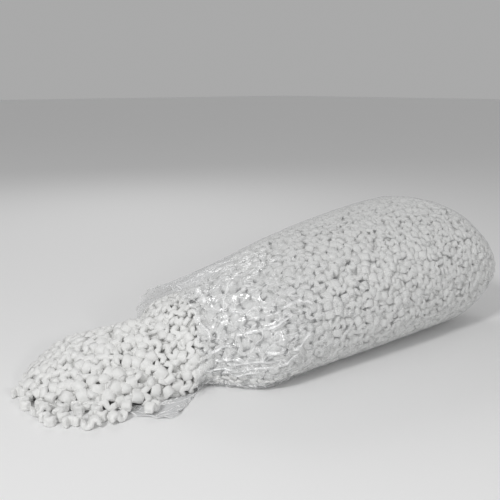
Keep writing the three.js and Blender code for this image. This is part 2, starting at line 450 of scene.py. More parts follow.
def math_node(tree: bpy.types.NodeTree, operation: str, first: bpy.types.NodeSocket,
              second: bpy.types.NodeSocket | float, third: bpy.types.NodeSocket | None = None,
              clamp: bool = False) -> bpy.types.NodeSocket:
    """Add a Math node.

    Args:
        tree: the material's nodes.
        operation: what it does.
        first: its first input.
        second: its second input, or that input's value.
        third: its third input, where it has one.
        clamp: whether the result is held between 0 and 1.

    Returns:
        The node's output.
    """
    node = tree.nodes.new("ShaderNodeMath")
    node.operation = operation
    node.use_clamp = clamp
    tree.links.new(first, node.inputs[0])
    if isinstance(second, bpy.types.NodeSocket):
        tree.links.new(second, node.inputs[1])
    else:
        node.inputs[1].default_value = second
    if third is not None:
        tree.links.new(third, node.inputs[2])
    return node.outputs["Value"]


def attribute_node(tree: bpy.types.NodeTree, name: str) -> bpy.types.NodeSocket:
    """Read one of the mesh's attributes.

    Args:
        tree: the material's nodes.
        name: the attribute.

    Returns:
        Its value.
    """
    node = tree.nodes.new("ShaderNodeAttribute")
    node.attribute_name = name
    return node.outputs["Fac"]


@dataclass(frozen=True)
class FilmFinish:
    """Clear polythene: see-through face on, milky edge on, with painted highlights along its
    creases.

    Attributes:
        colour: the veil's colour.
        veil: opacity face on.
        slack_veil: opacity that slack film adds, because it lies in several thin folds.
        edge: opacity edge on.
        crease: opacity of a sharp crease, which is also painted white there as a highlight.
        crinkle: opacity of the painted highlight lines along the fine crinkles, most where the
            film is slack.
        crinkle_width: how broad the fine crinkles are.
        crinkle_scale: how closely they lie.
        drawn: how far they are drawn out along X, Y and Z.
        roughness: blur of its gloss.
        rim_blend, rim_start: how the film turns milky towards its edge-on view.
        bump, bump_strength: depth of the crinkles in its gloss, and how much of it shows.
    """

    colour: tuple[float, float, float] = (0.76, 0.77, 0.78)
    veil: float = 0.13
    slack_veil: float = 0.20
    edge: float = 0.60
    crease: float = 0.85
    crinkle: float = 0.45
    crinkle_width: float = 0.03
    crinkle_scale: float = 34.0
    drawn: tuple[float, float, float] = (0.45, 1.0, 1.0)
    roughness: float = 0.12
    rim_blend: float = 0.22
    rim_start: float = 0.30
    bump: float = 0.006
    bump_strength: float = 0.7

    def build(self) -> bpy.types.Material:
        """Make the material.

        Returns:
            The finished material, which reads the mesh's crease and slack attributes.
        """
        material = bpy.data.materials.new("clear_polythene")
        material.use_nodes = True
        tree = material.node_tree
        nodes, links = tree.nodes, tree.links
        shader = nodes["Principled BSDF"]
        shader.inputs["Roughness"].default_value = self.roughness
        shader.inputs["IOR"].default_value = 1.51
        shader.inputs["Specular IOR Level"].default_value = 1.0
        crease = attribute_node(tree, "crease")
        slack = attribute_node(tree, "slack")
        crinkle = self.crinkles(tree)
        glint_paint = math_node(tree, "MULTIPLY", self.glint_lines(tree, crinkle), slack)
        rim = nodes.new("ShaderNodeLayerWeight")
        rim.inputs["Blend"].default_value = self.rim_blend
        by_angle = nodes.new("ShaderNodeMapRange")
        by_angle.inputs["From Min"].default_value = self.rim_start
        by_angle.inputs["To Min"].default_value = self.veil
        by_angle.inputs["To Max"].default_value = self.edge
        links.new(rim.outputs["Facing"], by_angle.inputs["Value"])
        milky = math_node(tree, "MULTIPLY_ADD", slack, self.slack_veil,
                          by_angle.outputs["Result"])
        crinkled = math_node(tree, "MULTIPLY_ADD", glint_paint, self.crinkle, milky)
        # Painted highlights: creases and crinkle lines are made more opaque here and painted white
        # below, whatever the lights.
        opacity = math_node(tree, "MULTIPLY_ADD", crease, self.crease, crinkled, clamp=True)
        links.new(opacity, shader.inputs["Alpha"])
        white = math_node(tree, "ADD", crease, glint_paint, clamp=True)
        glint_colour = nodes.new("ShaderNodeMix")
        glint_colour.data_type = "RGBA"
        glint_colour.inputs["A"].default_value = (*self.colour, 1.0)
        glint_colour.inputs["B"].default_value = (1.0, 1.0, 1.0, 1.0)
        links.new(white, glint_colour.inputs["Factor"])
        links.new(glint_colour.outputs["Result"], shader.inputs["Base Color"])
        bump = nodes.new("ShaderNodeBump")
        bump.inputs["Strength"].default_value = self.bump_strength
        bump.inputs["Distance"].default_value = self.bump
        links.new(crinkle, bump.inputs["Height"])
        links.new(bump.outputs["Normal"], shader.inputs["Normal"])
        return material

    def crinkles(self, tree: bpy.types.NodeTree) -> bpy.types.NodeSocket:
        """Add the noise that the fine crinkles follow.

        Args:
            tree: the material's nodes.

        Returns:
            The noise.
        """
        place = tree.nodes.new("ShaderNodeTexCoord")
        drawn = tree.nodes.new("ShaderNodeMapping")
        drawn.inputs["Scale"].default_value = self.drawn
        crinkle = tree.nodes.new("ShaderNodeTexNoise")
        crinkle.inputs["Scale"].default_value = self.crinkle_scale
        crinkle.inputs["Detail"].default_value = 3.0
        crinkle.inputs["Distortion"].default_value = 1.1
        tree.links.new(place.outputs["Object"], drawn.inputs["Vector"])
        tree.links.new(drawn.outputs["Vector"], crinkle.inputs["Vector"])
        return crinkle.outputs["Fac"]

    def glint_lines(self, tree: bpy.types.NodeTree,
               crinkle: bpy.types.NodeSocket) -> bpy.types.NodeSocket:
        """Turn the noise's middle level into thin lines, which the film paints as highlights.

        Args:
            tree: the material's nodes.
            crinkle: the noise.

        Returns:
            1 on a line and 0 away from it.
        """
        level = math_node(tree, "SUBTRACT", crinkle, 0.5)
        folded = tree.nodes.new("ShaderNodeMath")
        folded.operation = "ABSOLUTE"
        glint_paint = tree.nodes.new("ShaderNodeMapRange")
        glint_paint.inputs["From Max"].default_value = self.crinkle_width
        glint_paint.inputs["To Min"].default_value = 1.0
        glint_paint.inputs["To Max"].default_value = 0.0
        tree.links.new(level, folded.inputs[0])
        tree.links.new(folded.outputs["Value"], glint_paint.inputs["Value"])
        return glint_paint.outputs["Result"]


# ---------------------------------------------------------------- the film

@dataclass(frozen=True)
class Fold:
    """One crease of the film, between two places given as x and turn in degrees.

    Attributes:
        start: where it begins.
        stop: where it ends.
        height: how far it stands out.
        width: how broad its foot is.
        shine: how strongly a highlight is painted along it.
    """

    start: tuple[float, float]
    stop: tuple[float, float]
    height: float = 0.005
    width: float = 0.006
    shine: float = 0.9


@dataclass
class BagFilm:
    """The clear sack: a heat-sealed tube with a slack neck and a tongue on the floor.

    Attributes:
        form: the bag's shape.
        material: its finish.
        near_columns, far_columns: points round the near side and round the rest.
        near_side: turns, in degrees from +Y over the top, between which the near side lies.
        near_rows, far_rows, end_rows, lip_rows: rings at the neck, along the body, round the
            end and out to the lip.
        neck_rows_from: x where the closer rings of the neck begin.
        fin_rows: where the seal's rings lie, as shares of its length.
        seal_flat: share of the end ring's height that is left in the seal.
        floor_touch: height below which the film lies on the floor.
        slack_from, slack_to: x where the film begins to go slack and where it is all slack.
        arc_radius: turns are multiplied by it, so that patterns are in metres round the bag.
        drawn: how far patterns are drawn out along the slack neck.
        waves, wave_height, wave_reach: how many small waves gather the lip, their height,
            and how far in they reach.
        flat: the tube's girth and length when laid flat; not used.
        folds: its single creases.
        lip: the edge of the mouth, as turn in degrees from +Y over the top, x, y and z.
    """

    form: BagForm
    material: bpy.types.Material
    near_columns: int = 176
    far_columns: int = 112
    near_side: tuple[float, float] = (95, 235)
    near_rows: int = 116
    far_rows: int = 84
    end_rows: int = 30
    lip_rows: int = 42
    neck_rows_from: float = 0.22
    fin_rows: tuple[float, ...] = (1.0, 0.6, 0.2)
    seal_flat: float = 0.2
    floor_touch: float = 0.0012
    slack_from: float = 0.26
    slack_to: float = -0.02
    arc_radius: float = 0.16
    drawn: float = 0.35
    waves: int = 32
    wave_height: float = 0.0052
    wave_reach: float = 0.016
    flat: tuple[float, float] = (1.383, 1.187)
    folds: tuple[Fold, ...] = (
        Fold((0.010, 152), (0.106, 149), 0.007, 0.006, 1.0),
        Fold((0.104, 149), (0.135, 156), 0.005, 0.004, 1.0),
        Fold((0.018, 164), (0.070, 159), 0.006, 0.005, 1.0),
        Fold((-0.015, 167), (0.010, 165), 0.005, 0.004, 0.9),
        Fold((0.014, 180), (0.062, 187), 0.006, 0.005, 1.0),
        Fold((0.072, 185), (0.116, 177), 0.006, 0.005, 0.9),
        Fold((-0.048, 187), (-0.008, 190), 0.006, 0.004, 1.0),
        Fold((-0.070, 197), (-0.018, 200), 0.006, 0.004, 1.0),
        Fold((-0.060, 221), (-0.030, 214), 0.006, 0.005, 0.9),
        Fold((-0.074, 116), (-0.064, 137), 0.006, 0.005, 1.0),
        Fold((-0.030, 102), (-0.040, 127), 0.006, 0.005, 0.9),
        Fold((-0.008, 131), (-0.016, 170), 0.004, 0.005, 0.35),
        Fold((0.030, 140), (0.190, 133), 0.003, 0.006, 0.25),
        Fold((0.120, 168), (0.260, 160), 0.003, 0.005, 0.25),
        Fold((-0.016, 208), (0.012, 201), 0.005, 0.004, 0.8),
        Fold((-0.040, 204), (0.030, 196), 0.005, 0.004, 0.9),
        Fold((-0.030, 193), (0.024, 191), 0.005, 0.003, 0.9),
        Fold((-0.058, 180), (-0.020, 176), 0.005, 0.004, 0.8),
        Fold((-0.046, 171), (-0.030, 150), 0.004, 0.004, 0.6),
        Fold((0.040, 196), (0.085, 190), 0.004, 0.004, 0.6),
        Fold((-0.066, 140), (-0.056, 168), 0.005, 0.004, 0.7),
        Fold((-0.040, 84), (0.060, 92), 0.004, 0.006, 0.4),
        Fold((0.020, 112), (0.150, 104), 0.003, 0.006, 0.3),
    )
    lip: tuple[tuple[float, float, float, float], ...] = (
        (0, -0.086, 0.220, 0.095),
        (45, -0.076, 0.186, 0.181),
        (68, -0.068, 0.140, 0.206),
        (90, -0.062, 0.090, 0.214),
        (112, -0.066, 0.038, 0.206),
        (135, -0.074, -0.010, 0.181),
        (180, -0.084, -0.043, 0.095),
        (212, -0.096, -0.036, 0.026),
        (226, -0.106, -0.042, 0.0),
        (240, -0.186, -0.093, 0.0),
        (250, -0.212, -0.088, 0.0),
        (260, -0.256, -0.028, 0.0),
        (272, -0.270, 0.050, 0.0),
        (290, -0.250, 0.150, 0.0),
        (306, -0.190, 0.225, 0.0),
        (322, -0.108, 0.236, 0.0),
        (336, -0.098, 0.230, 0.026),
        (360, -0.086, 0.220, 0.095),
    )

    def grid(self) -> tuple[Array, Array]:
        """Lay the smooth film out as rows of rings.

        Returns:
            Points by row and column, and the turn of each column in radians.
        """
        form = self.form
        near_from, near_to = self.near_side
        turns = np.radians(np.concatenate([
            np.linspace(near_from, near_to, self.near_columns, endpoint=False),
            np.linspace(near_to, near_from + 360, self.far_columns, endpoint=False) % 360,
        ]))
        turns = np.sort(turns)
        shoulder = form.length - form.end_depth
        tip = np.cos(np.linspace(0, math.pi / 2, self.end_rows, endpoint=False))
        stations = np.concatenate([
            shoulder + form.end_depth * tip,
            np.linspace(shoulder, self.neck_rows_from, self.far_rows, endpoint=False),
            np.linspace(self.neck_rows_from, form.neck_ring, self.near_rows),
        ])
        rows = [form.ring(x, turns) for x in stations]
        flat = self.seal_flat
        seal = rows[0] * [1, 1, flat] + [0, 0, (1 - flat) * form.seam_height]
        fin = [seal + [form.fin * share, 0, 0] for share in self.fin_rows]
        knots = np.array(self.lip)
        angle = np.degrees(turns)
        edge = np.stack([np.interp(angle, knots[:, 0], knots[:, i]) for i in (1, 2, 3)], axis=1)
        for share in np.linspace(0, 1, self.lip_rows + 1)[1:]:
            rows.append(rows[len(stations) - 1] * (1 - share) + edge * share)
        return np.array(fin + rows), turns

    def dress_up(self, points: Array, turns: Array) -> tuple[Array, Array, Array]:
        """Add puckers, folds and waves along the film's normals, and mark where highlights are
        painted along its creases and lip.

        Args:
            points: the smooth film.
            turns: angle of each column.

        Returns:
            The finished points, and the crease and slack values at each; the crease value is a
            painted highlight.
        """
        along = np.gradient(points, axis=0)
        around = (np.roll(points, -1, axis=1) - np.roll(points, 1, axis=1)) / 2
        normal = unit(np.cross(along, around))
        x = points[..., 0]
        arc = np.broadcast_to(turns * self.arc_radius, x.shape)
        slack = smooth(x, self.slack_from, self.slack_to)
        on_floor = points[..., 2] < self.floor_touch
        lift, crease = self.puckers(points, arc, slack)
        lift = lift - self.seal_pleats(x, arc)
        lift = np.where(on_floor, 0.0004 * (1 + wave_noise(points, 6, 0.02)), lift)
        placed = points + normal * lift[..., None] * np.where(on_floor, -1, 1)[..., None]
        placed[..., 2] = np.maximum(placed[..., 2], FLOOR_GAP)
        to_edge = np.linalg.norm(points - points[-1:], axis=-1)
        placed = placed + self.ripple(points, normal, to_edge, on_floor)
        placed[..., 2] = np.maximum(placed[..., 2], FLOOR_GAP)
        tongue = on_floor & (x < self.form.mouth)
        # Painted highlight: a bright line along the lip, strongest on the tongue's edge on the
        # floor.
        lip_glint = np.clip(0.28 + 0.75 * wave_noise(points, 41, 0.016), 0, 1)
        lip_glint = np.where(tongue, 0.95, lip_glint)
        width = np.where(tongue, 0.0042, 0.0026)
        crease = crease + lip_glint * np.exp(-((to_edge / width) ** 2))
        stretched = np.stack([x * self.drawn, arc], axis=-1)
        # Painted highlight streaks across the tongue.
        crease = crease + 0.30 * tongue * np.clip(wave_noise(stretched, 17, 0.03), 0, 1) ** 2
        clear = 0.30 + 0.70 * smooth(to_edge, 0.004, 0.070)
        slack = slack * np.where(tongue, 1.9, clear)
        return placed, np.clip(crease, 0, 1), 0.30 + 0.70 * slack

    def puckers(self, points: Array, arc: Array, slack: Array) -> tuple[Array, Array]:
        """Bumps of the fill behind tight film, ridges of slack film, and the single folds.

        Args:
            points: the smooth film.
            arc: metres round the bag at each point.
            slack: how slack the film is there.

        Returns:
            How far the film stands out, and how strongly a highlight is painted along its ridges
            and folds.
        """
        x = points[..., 0]
        flat = np.stack([x, arc], axis=-1)
        stretched = np.stack([x * self.drawn, arc], axis=-1)
        lift = 0.0009 + 0.0009 * np.clip(wave_noise(points, 3, 0.024), -1, 1)
        lift = lift + slack * 0.0026 * (wave_noise(stretched, 5, 0.040) + 0.4)
        ridges = 1 - np.abs(wave_noise(stretched, 8, 0.055))
        sharp = np.clip(ridges, 0, 1) ** 9
        lift = lift + slack * 0.0030 * sharp
        # Painted highlight along the sharpest ridges of slack film.
        crease = 0.22 * slack * sharp * np.clip(wave_noise(points, 9, 0.05), 0, 1)
        ragged = 0.65 + 0.45 * wave_noise(points, 21, 0.010)
        for fold in self.folds:
            away, share = self.distance(flat, fold)
            fade = smooth(share, -0.15, 0.15) * smooth(share, 1.15, 0.85)
            lift = lift + fold.height * np.exp(-away / fold.width) * fade
            # Painted highlight along each fold, which the material paints white and more opaque.
            crease = crease + fold.shine * ragged * np.exp(-((away / 0.0027) ** 2)) * fade
        return lift, crease

    def seal_pleats(self, x: Array, arc: Array) -> Array:
        """Depth of the pleats that gather the film into its seal.

        Args:
            x: place of each point along the bag.
            arc: metres round the bag at each point.

        Returns:
            How far each point is drawn in.
        """
        length = self.form.length
        seam = smooth(x, length - 0.09, length)
        flat = np.stack([x, arc], axis=-1)
        pleat = np.abs(np.sin(arc * 120 + 2.0 * wave_noise(flat, 12, 0.05)))
        return 0.004 * seam * (1 - pleat) * smooth(x, length + 0.004, length - 0.01)

    def ripple(self, points: Array, normal: Array, to_edge: Array, on_floor: Array) -> Array:
        """Gather the lip into small waves, because the tube's cut edge is longer than the mouth.

        Args:
            points: the smooth film.
            normal: its outward normals.
            to_edge: distance of each point from the lip.
            on_floor: whether the point lies on the floor.

        Returns:
            How far each point moves.
        """
        edge = points[-1]
        steps = np.linalg.norm(np.roll(edge, -1, axis=0) - edge, axis=1)
        run = np.concatenate([[0.0], np.cumsum(steps)[:-1]])
        wave = np.sin(run * (2 * math.pi * self.waves / steps.sum()))
        uneven = 0.85 + 0.35 * np.clip(wave_noise(points, 51, 0.07), -1, 1)
        height = self.wave_height * uneven * np.exp(-((to_edge / self.wave_reach) ** 2))
        lifted = height * (wave + 0.9)
        up = np.where(on_floor[..., None], np.array([0.0, 0.0, 1.0]), normal)
        return up * lifted[..., None]

    def distance(self, flat: Array, fold: Fold) -> tuple[Array, Array]:
        """Distance of the film's points from a fold's line, and how far along it they are.

        Args:
            flat: x and arc of each point.
            fold: the fold.

        Returns:
            Distances in metres, and shares along the fold.
        """
        radius = self.arc_radius
        start = np.array([fold.start[0], math.radians(fold.start[1]) * radius])
        stop = np.array([fold.stop[0], math.radians(fold.stop[1]) * radius])
        line = stop - start
        share = ((flat - start) @ line) / (line @ line)
        bow = 0.0022 * np.sin(np.clip(share, 0, 1) * 7.0)
        side = np.array([-line[1], line[0]]) / np.linalg.norm(line)
        nearest = start + np.clip(share, 0, 1)[..., None] * line + bow[..., None] * side
        return np.linalg.norm(flat - nearest, axis=-1), share

    def build(self) -> bpy.types.Object:
        """Make the film as one sheet.

        Returns:
            The film's object.
        """
        smooth_points, turns = self.grid()
        placed, crease, slack = self.dress_up(smooth_points, turns)
        rows, columns = placed.shape[:2]
        faces, index = tube_faces(rows, columns)
        points = placed.reshape(-1, 3) + self.form.origin()
        seal_end = index[0]
        corners = np.concatenate([faces.ravel(), seal_end])
        counts = np.concatenate([np.full(len(faces), 4), [columns]])
        film = new_piece("clear_sack", points, corners[None], self.material, counts)
        for name, values in (("crease", crease), ("slack", slack)):
            mark = film.data.attributes.new(name, "FLOAT", "POINT")
            mark.data.foreach_set("value", values.ravel().astype(np.float32))
        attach(film, "root")
        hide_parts("bag_film")
        log.info("clear sack: %d faces", len(film.data.polygons))
        return film


# ---------------------------------------------------------------- one peanut

@dataclass
class PeanutPattern:
    """One S-shaped foam peanut, modelled once. It lies along X with its ribbon's width along Z.

    Attributes:
        curl: radius of each of its two curls, to the middle of the ribbon.
        thick: thickness of the ribbon.
        wide: width of the ribbon.
        chamfer: share of the thickness that is left at the ribbon's edges.
        flat: share of the width that is flat on the ribbon's faces.
        hook: how far each curl goes past a half turn.
        steps: how many sections each curl has.
    """

    curl: float = 0.0074
    thick: float = 0.0126
    wide: float = 0.0215
    chamfer: float = 0.60
    flat: float = 0.76
    hook: float = math.radians(26)
    steps: int = 4

    def build(self) -> tuple[Array, list[tuple[int, ...]]]:
        """Sweep a rounded ribbon section round both curls with edit-mode operators.

        Returns:
            The pattern's points and faces.
        """
        deselect_all()
        bpy.ops.mesh.primitive_circle_add(vertices=8, radius=1.0, fill_type="NGON",
                                          location=(0, 0, 0), rotation=(0, 0, 0))
        pattern = bpy.context.object
        bpy.ops.object.mode_set(mode="EDIT")
        bpy.ops.mesh.select_all(action="SELECT")
        bpy.ops.object.mode_set(mode="OBJECT")
        start = math.pi + self.hook
        half_thick, half_wide = self.thick / 2, self.wide / 2
        for vertex in pattern.data.vertices:
            turn = math.atan2(vertex.co.y, vertex.co.x) + math.pi / 8
            flank = abs(math.cos(turn)) > abs(math.sin(turn))
            out = math.copysign(half_thick * (1.0 if flank else self.chamfer), math.cos(turn))
            up = math.copysign(half_wide * (self.flat if flank else 1.0), math.sin(turn))
            radius = self.curl + out
            vertex.co = (radius * math.cos(start) - self.curl, radius * math.sin(start), up)
        self.sweep((-self.curl, 0, 0), (math.pi + self.hook) / self.steps)
        self.sweep((self.curl, 0, 0), -(math.pi + self.hook) / self.steps)
        bpy.ops.object.mode_set(mode="EDIT")
        bpy.ops.mesh.select_all(action="SELECT")
        bpy.ops.mesh.normals_make_consistent(inside=False)
        bpy.ops.object.mode_set(mode="OBJECT")
        points = np.array([v.co[:] for v in pattern.data.vertices])
        # The operators leave the faces in no fixed order.
        faces = sorted(tuple(f.vertices) for f in pattern.data.polygons)
        bpy.data.objects.remove(pattern)
        log.info("peanut pattern: %d points, %d faces", len(points), len(faces))
        return points, faces

    def sweep(self, hub: tuple[float, float, float], angle: float) -> None:
        """Extrude the selected end face round a hub, in equal steps.

        Args:
            hub: the point that the ribbon curls round.
            angle: turn of each step, in radians.
        """
        bpy.ops.object.mode_set(mode="EDIT")
        for _ in range(self.steps):
            bpy.ops.mesh.extrude_region_move(TRANSFORM_OT_translate={"value": (0, 0, 0)})
            bpy.ops.transform.rotate(value=angle, orient_axis="Z", orient_type="GLOBAL",
                                     center_override=hub)
        bpy.ops.object.mode_set(mode="OBJECT")


# ---------------------------------------------------------------- the fill

def loose_nodes() -> list[str]:
    """Names of the CAD nodes that are single peanuts, in the frame's order."""
    return [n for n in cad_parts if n.startswith("peanut_") and n != "peanut_fill"]


@dataclass
class Packing:
    """Settles peanuts against the film and on the heap by pushing apart those that overlap.

    Each peanut is two balls a fixed way apart. Only the outer layers are made, because the rest
    is never seen.

    Attributes:
        form: the shape that they fill.
        seed: which scatter.
        ball: radius of each ball.
        reach: from a peanut's middle to each ball's.
        layer: how deep the outer layers go.
        share_each: volume for each peanut.
        swell: how far peanuts are pressed outwards in each round, until most rounds are done.
        rounds: how many times they are pushed apart.
        push_share: share of an overlap that each round takes away on either side.
        swell_share: share of the rounds in which they are pressed outwards.
        lie_flat: how far they turn along the film at the start.
        tries: how many places are tried for them.
    """

    form: BagForm
    seed: int = 7
    ball: float = 0.0103
    reach: float = 0.0082
    layer: float = 0.041
    share_each: float = 1.07e-5
    swell: float = 0.0006
    rounds: int = 170
    push_share: float = 0.30
    swell_share: float = 0.7
    lie_flat: float = 0.8
    tries: int = 260000

    def scatter(self) -> Array:
        """Throw the peanuts' middles evenly into the outer layer of the fill.

        Returns:
            One row for each peanut, in the bag's own frame.
        """
        rng = np.random.default_rng(self.seed)
        low = np.array([self.form.heap_toe, -0.26, 0.0])
        high = np.array([self.form.length, 0.46, 0.40])
        tries = rng.uniform(low, high, (self.tries, 3))
        depth, _ = self.form.depth(tries)
        kept = (depth < -self.ball) & (depth > -self.layer) & (tries[:, 2] > self.ball * 0.8)
        volume = np.prod(high - low) * kept.mean()
        wanted = int(volume / self.share_each)
        log.info("outer layer of the fill: %.4f cubic metres, %d peanuts", volume, wanted)
        return tries[kept][:wanted]

    def neighbours(self, balls: Array) -> tuple[Array, Array]:
        """Pairs of balls in the same or touching cells of a grid.

        Args:
            balls: the balls' centres.

        Returns:
            The first and the second ball of each pair.
        """
        cell = 2 * self.ball
        spot = np.floor((balls - balls.min(axis=0)) / cell).astype(np.int64) + 1
        key = spot @ np.array([1, 1 << 10, 1 << 20])
        order = np.argsort(key, kind="stable")
        cells, first, count = np.unique(key[order], return_index=True, return_counts=True)
        firsts, seconds = [], []
        for dx in (-1, 0, 1):
            for dy in (-1, 0, 1):
                for dz in (-1, 0, 1):
                    shift = dx + (dy << 10) + (dz << 20)
                    if shift < 0:
                        continue
                    at = np.minimum(np.searchsorted(cells, key + shift), len(cells) - 1)
                    found = cells[at] == key + shift
                    reps = np.where(found, count[at], 0)
                    mine = np.repeat(np.arange(len(balls)), reps)
                    offset = np.arange(len(mine)) - np.repeat(np.cumsum(reps) - reps, reps)
                    other = order[np.repeat(first[at], reps) + offset]
                    if shift == 0:
                        kept = mine < other
                        mine, other = mine[kept], other[kept]
                    firsts.append(mine)
                    seconds.append(other)
        return np.concatenate(firsts), np.concatenate(seconds)

    def settle(self, fixed: Array) -> tuple[Array, Array]:
        """Push overlapping peanuts apart, inside the film and off the floor.

        Args:
            fixed: centres of balls that don't move, for the peanuts that lie loose.

        Returns:
            Each peanut's middle and its long axis.
        """
        rng = np.random.default_rng(self.seed + 1)
        middles = self.scatter()
        _, outward = self.form.depth(middles)
        axis = unit(rng.normal(size=middles.shape))
        flat = axis - self.lie_flat * (axis * outward).sum(axis=1, keepdims=True) * outward
        axis = unit(flat)
        count = len(middles)
        balls = np.concatenate([middles - axis * self.reach, middles + axis * self.reach, fixed])
        owner = np.concatenate([np.arange(count), np.arange(count),
                                np.full(len(fixed), -1)])
        free = owner >= 0
        rounds = self.rounds
        first = second = np.empty(0, int)
        for step in range(rounds):
            if step % 3 == 0:
                first, second = self.neighbours(balls)
                apart = owner[first] != owner[second]
                first, second = first[apart], second[apart]
            gap = balls[second] - balls[first]
            size = np.maximum(np.linalg.norm(gap, axis=1), 1e-6)
            over = np.maximum(0, 2 * self.ball - size)
            push = gap / size[:, None] * (over * self.push_share)[:, None]
            for i in range(3):
                balls[:, i] += np.where(free, np.bincount(second, push[:, i], len(balls))
                                        - np.bincount(first, push[:, i], len(balls)), 0)
            a, b = balls[:count], balls[count: 2 * count]
            middle, axis = (a + b) / 2, unit(b - a)
            balls[:count] = middle - axis * self.reach
            balls[count: 2 * count] = middle + axis * self.reach
            depth, outward = self.form.depth(balls)
            too_far = np.maximum(0, depth + self.ball)
            too_deep = np.minimum(0, depth + self.layer)
            swell = self.swell if step < self.swell_share * rounds else 0.0
            move = outward * (too_far + 0.5 * too_deep - swell)[:, None]
            balls[free] -= move[free]
            balls[free, 2] = np.maximum(balls[free, 2], self.ball)
        a, b = balls[:count], balls[count: 2 * count]
        return (a + b) / 2, unit(b - a)


@dataclass
class PeanutFill:
    """The visible peanuts of the bag and the heap, and the plain mass behind them.

    Attributes:
        form: the shape that they fill.
        packing: how they lie.
        foam: finish of the peanuts.
        deep: finish of the mass behind them.
        pattern: points and faces of one peanut.
        piece_limit: most peanuts in one piece.
        outer_depth: how deep the layer goes whose peanuts lie square to the film.
        face_on: share of those whose S faces outwards.
        tilt: how far they turn away from square, in radians.
        sizes: least and greatest size, as a share of the pattern's.
        heap_gain, heap_turn: how much larger they are on the heap, and over which stretch of
            x that begins.
        bends: height and closeness of the waves that bend each peanut along Y, Z and X.
        film_clearance, film_stretch: how far they keep inside the film, and the stretch of x
            over which it begins.
        floor_clearance: least height of their undersides.
        loose_reach: from a loose peanut's middle to each of its two balls.
        core_depth: how deep the mass behind begins.
        core_rise: how much less deep it begins where the mouth is.
        core_mouth, core_spread: x of the mouth for that, and how far it reaches.
        core_ends: from the mass's two ends to the bag's end and the heap's toe.
        core_least: least half width and half height of its rings.
        core_floor: least height of its rings before they are roughened, and after.
        core_underside: width of its underside as a share of the rest.
        core_columns, core_rows: points round the mass, and rings along it.
        core_rough, core_grain: how rough it is, and the size of its bumps.
    """

    form: BagForm
    packing: Packing
    foam: bpy.types.Material
    deep: bpy.types.Material
    pattern: tuple[Array, list[tuple[int, ...]]]
    piece_limit: int = 1300
    outer_depth: float = 0.030
    face_on: float = 0.45
    tilt: float = 0.22
    sizes: tuple[float, float] = (0.82, 1.06)
    heap_gain: float = 0.17
    heap_turn: tuple[float, float] = (-0.06, -0.14)
    bends: tuple[tuple[float, float], ...] = ((0.0013, 150), (0.0014, 120), (0.0012, 190))
    film_clearance: float = 0.0012
    film_stretch: tuple[float, float] = (-0.112, -0.098)
    floor_clearance: float = 0.0010
    loose_reach: float = 0.0085
    core_depth: float = 0.035
    core_rise: float = 0.012
    core_mouth: float = -0.105
    core_spread: float = 0.045
    core_ends: tuple[float, float] = (0.050, 0.075)
    core_least: tuple[float, float] = (0.01, 0.008)
    core_floor: tuple[float, float] = (0.004, 0.003)
    core_underside: float = 0.985
    core_columns: int = 96
    core_rows: int = 150
    core_rough: float = 0.0035
    core_grain: float = 0.014

    def loose_balls(self) -> Array:
        """Two balls for each peanut of the CAD model, so that the heap keeps off them."""
        balls = []
        for name in loose_nodes():
            points = np.array([v.co[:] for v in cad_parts[name].data.vertices])
            middle = (points.max(axis=0) + points.min(axis=0)) / 2
            spread = points[:, :2] - points[:, :2].mean(axis=0)
            _, _, ways = np.linalg.svd(spread, full_matrices=False)
            way = np.array([*ways[0], 0.0])
            balls += [middle - way * self.loose_reach, middle + way * self.loose_reach]
        return np.array(balls) - self.form.origin()

    def place(self, middles: Array, axes: Array) -> Array:
        """Turn the pattern into every peanut's own points.

        Args:
            middles: each peanut's middle.
            axes: each peanut's long axis.

        Returns:
            Points by peanut and by pattern point.
        """
        rng = np.random.default_rng(5)
        shape = self.pattern[0]
        depth, outward = self.form.depth(middles)
        square = unit(outward - (outward * axes).sum(axis=1, keepdims=True) * axes)
        beside = np.cross(axes, square)
        outer = depth > -self.outer_depth
        face_on = rng.random(len(middles)) < self.face_on
        turn = np.where(face_on, 0, math.pi / 2) + rng.normal(0, self.tilt, len(middles))
        turn = np.where(outer, turn, rng.uniform(0, 2 * math.pi, len(middles)))
        turn = turn + math.pi * rng.integers(0, 2, len(middles))
        wide = square * np.cos(turn)[:, None] + beside * np.sin(turn)[:, None]
        short = np.cross(wide, axes)
        size = rng.uniform(*self.sizes, (len(middles), 3))
        size = size * (1 + self.heap_gain * smooth(middles[:, :1], *self.heap_turn))
        local = shape[None] * size[:, None]
        phase = rng.uniform(0, 2 * math.pi, (len(middles), 3))
        (bend_y, pace_y), (bend_z, pace_z), (bend_x, pace_x) = self.bends
        local[..., 1] += bend_y * np.sin(local[..., 0] * pace_y + phase[:, None, 0])
        local[..., 2] += bend_z * np.sin(local[..., 0] * pace_z + phase[:, None, 1])
        local[..., 0] += bend_x * np.sin(local[..., 1] * pace_x + phase[:, None, 2])
        points = (middles[:, None] + local[..., :1] * axes[:, None]
                  + local[..., 1:2] * short[:, None] + local[..., 2:] * wide[:, None])
        return self.press(points)

    def press(self, points: Array) -> Array:
        """Flatten what would stick out through the film or the floor.

        Args:
            points: points by peanut and by pattern point.

        Returns:
            The same points, held inside the fill's surface.
        """
        flat = points.reshape(-1, 3)
        for _ in range(2):
            depth, outward = self.form.depth(flat)
            past = np.maximum(0, depth + self.film_clearance)
            held = past * smooth(flat[:, 0], *self.film_stretch)
            flat = flat - outward * held[:, None]
        flat[:, 2] = np.maximum(flat[:, 2], self.floor_clearance)
        return flat.reshape(points.shape)

